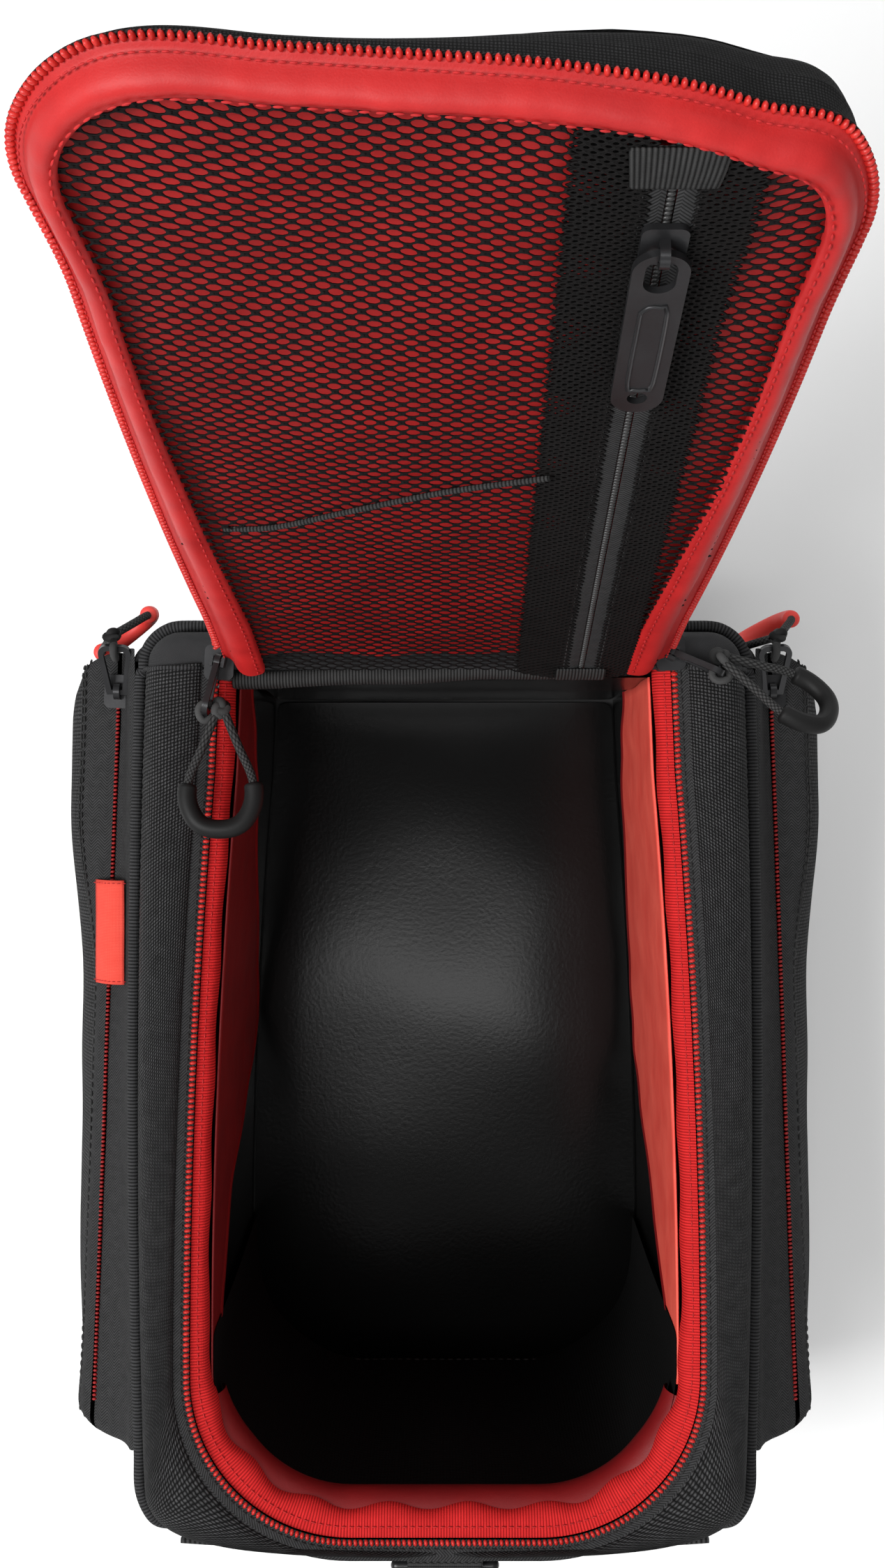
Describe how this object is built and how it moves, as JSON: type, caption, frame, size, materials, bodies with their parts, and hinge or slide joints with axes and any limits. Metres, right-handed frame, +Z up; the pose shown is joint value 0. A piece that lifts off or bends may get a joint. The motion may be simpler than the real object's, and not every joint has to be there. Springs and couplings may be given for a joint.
{
  "type": "motorcycle luggage bag",
  "caption": "Soft box bag with a U-shaped zipped lid standing open, mesh lid pocket, zipped side pockets, front webbing strap and D-ring.",
  "frame": {"origin": "centre of the base's underside, midway between the body's side walls, with the zip opening's middle 2.5 mm in front of it", "axes": "+Z up from the base, +Y towards the lid's hinge, +X to the right seen from the front"},
  "size_m": [0.254, 0.3931, 0.4297],
  "materials": {
    "black_weave": "coarse woven polyester, charcoal black",
    "grey_stretch": "smooth stretch fabric, dark grey",
    "grip_fabric": "dotted anti-slip sheet",
    "board_plastic": "stiffener board",
    "black_piping": "ribbed piping cloth",
    "black_liner_cloth": "woven lining",
    "red_lining": "red satin lining",
    "black_gloss_liner": "coated liner, smooth",
    "red_binding": "ribbed grosgrain binding, red",
    "black_binding": "ribbed binding, black",
    "red_coil": "nylon zip coil, red",
    "dark_red_coil": "nylon zip coil, dark red",
    "black_coil": "nylon zip coil, black",
    "black_tape": "herringbone zip tape",
    "foam": "closed-cell foam, hidden",
    "black_mesh": "open diamond mesh",
    "black_webbing": "polyester webbing",
    "red_tag": "woven side tag, blank",
    "black_plastic": "moulded acetal",
    "dark_metal": "gunmetal coating",
    "black_cord": "braided cord",
    "black_rubber": "moulded soft grip",
    "red_rubber": "moulded soft grip, red"
  },
  "bodies": {
    "bag": {"base_panel": "grip_fabric", "base_board": "board_plastic", "front_panel": "black_weave", "rear_panel": "grey_stretch", "side_panel_left": "black_weave", "side_panel_right": "black_weave", "top_rim": "black_weave", "piping_left": "black_piping", "piping_right": "black_piping", "front_lining": "black_liner_cloth", "side_lining_left": "red_lining", "side_lining_right": "red_lining", "floor_liner": "black_gloss_liner", "main_coil": "red_coil", "main_zip_tape": "black_tape", "opening_binding": "red_binding", "hinge_binding": "black_binding", "pocket_left": "black_weave", "pocket_right": "black_weave", "pocket_zip_tape_left": "black_tape", "pocket_zip_tape_right": "black_tape", "pocket_coil_left": "dark_red_coil", "pocket_coil_right": "dark_red_coil", "front_strap": "black_webbing", "ring_tab": "black_webbing", "side_tag": "red_tag"},
    "lid": {"lid_outer_panel": "black_weave", "lid_edge_band": "black_piping", "lid_foam": "foam", "lid_lining": "red_lining", "lid_border": "red_lining", "lid_mesh": "black_mesh", "lid_mesh_band": "black_mesh", "lid_coil": "red_coil", "lid_zip_tape": "black_tape", "mesh_zip_tape": "black_tape", "mesh_coil": "black_coil"},
    "front_ring": {"front_ring": "black_plastic"},
    "mesh_slider": {"mesh_slider": "dark_metal"},
    "mesh_pull": {"mesh_pull": "dark_metal"},
    "main_slider_left": {"main_slider_left": "dark_metal"},
    "main_pull_left": {"main_tab_left": "dark_metal", "main_knot_left": "black_cord", "main_cord_left": "black_cord", "main_grip_left": "black_rubber"},
    "pocket_slider_left": {"pocket_slider_left": "dark_metal"},
    "pocket_pull_left": {"pocket_tab_left": "dark_metal", "pocket_knot_left": "black_cord", "pocket_cord_left": "black_cord", "pocket_grip_left": "red_rubber"},
    "main_slider_right": {"main_slider_right": "dark_metal"},
    "main_pull_right": {"main_tab_right": "dark_metal", "main_knot_right": "black_cord", "main_cord_right": "black_cord", "main_grip_right": "black_rubber"},
    "pocket_slider_right": {"pocket_slider_right": "dark_metal"},
    "pocket_pull_right": {"pocket_tab_right": "dark_metal", "pocket_knot_right": "black_cord", "pocket_cord_right": "black_cord", "pocket_grip_right": "red_rubber"}
  },
  "joints": [
    {"name": "lid_hinge", "type": "hinge", "parent": "bag", "child": "lid", "pos_m": [0, 0.135, 0.17], "axis": [1, 0, 0], "range_deg": [-41, 109], "deforming": ["main_cord_left", "main_grip_left", "main_knot_left"]},
    {"name": "front_ring_swing", "type": "hinge", "parent": "bag", "child": "front_ring", "pos_m": [0, -0.1546, 0.156], "axis": [1, 0, 0], "range_deg": [-95, 0]},
    {"name": "mesh_slider_slide", "type": "slide", "parent": "lid", "child": "mesh_slider", "axis": [0, -0.3256, -0.9455], "range_m": [0, 0.15]},
    {"name": "mesh_pull_swing", "type": "hinge", "parent": "mesh_slider", "child": "mesh_pull", "pos_m": [0.0415, 0.19795, 0.38629], "axis": [1, 0, 0], "range_deg": [-140, 0]},
    {"name": "main_slider_left_slide", "type": "slide", "parent": "bag", "child": "main_slider_left", "axis": [-0.0419, -0.9991, 0], "range_m": [0, 0.18]},
    {"name": "main_pull_left_swing", "type": "hinge", "parent": "main_slider_left", "child": "main_pull_left", "pos_m": [-0.07061, 0.135, 0.177], "axis": [0.9789, -0.2045, 0], "range_deg": [-70, 0]},
    {"name": "pocket_slider_left_slide", "type": "slide", "parent": "bag", "child": "pocket_slider_left", "axis": [-0.0347, -0.9994, 0], "range_m": [0, 0.21], "deforming": ["pocket_cord_left", "pocket_grip_left", "pocket_knot_left", "side_tag"]},
    {"name": "pocket_pull_left_swing", "type": "hinge", "parent": "pocket_slider_left", "child": "pocket_pull_left", "pos_m": [-0.10763, 0.1275, 0.1447], "axis": [0.9994, -0.0347, 0], "range_deg": [0, 60]},
    {"name": "main_slider_right_slide", "type": "slide", "parent": "bag", "child": "main_slider_right", "axis": [0.0419, -0.9991, 0], "range_m": [0, 0.18]},
    {"name": "main_pull_right_swing", "type": "hinge", "parent": "main_slider_right", "child": "main_pull_right", "pos_m": [0.07049, 0.138, 0.177], "axis": [0.4289, 0.9033, 0], "range_deg": [-50, 0]},
    {"name": "pocket_slider_right_slide", "type": "slide", "parent": "bag", "child": "pocket_slider_right", "axis": [0.0347, -0.9994, 0], "range_m": [0, 0.21], "deforming": ["pocket_cord_right", "pocket_grip_right", "pocket_knot_right"]},
    {"name": "pocket_pull_right_swing", "type": "hinge", "parent": "pocket_slider_right", "child": "pocket_pull_right", "pos_m": [0.10763, 0.1275, 0.1447], "axis": [0.9994, 0.0347, 0], "range_deg": [0, 60]}
  ]
}
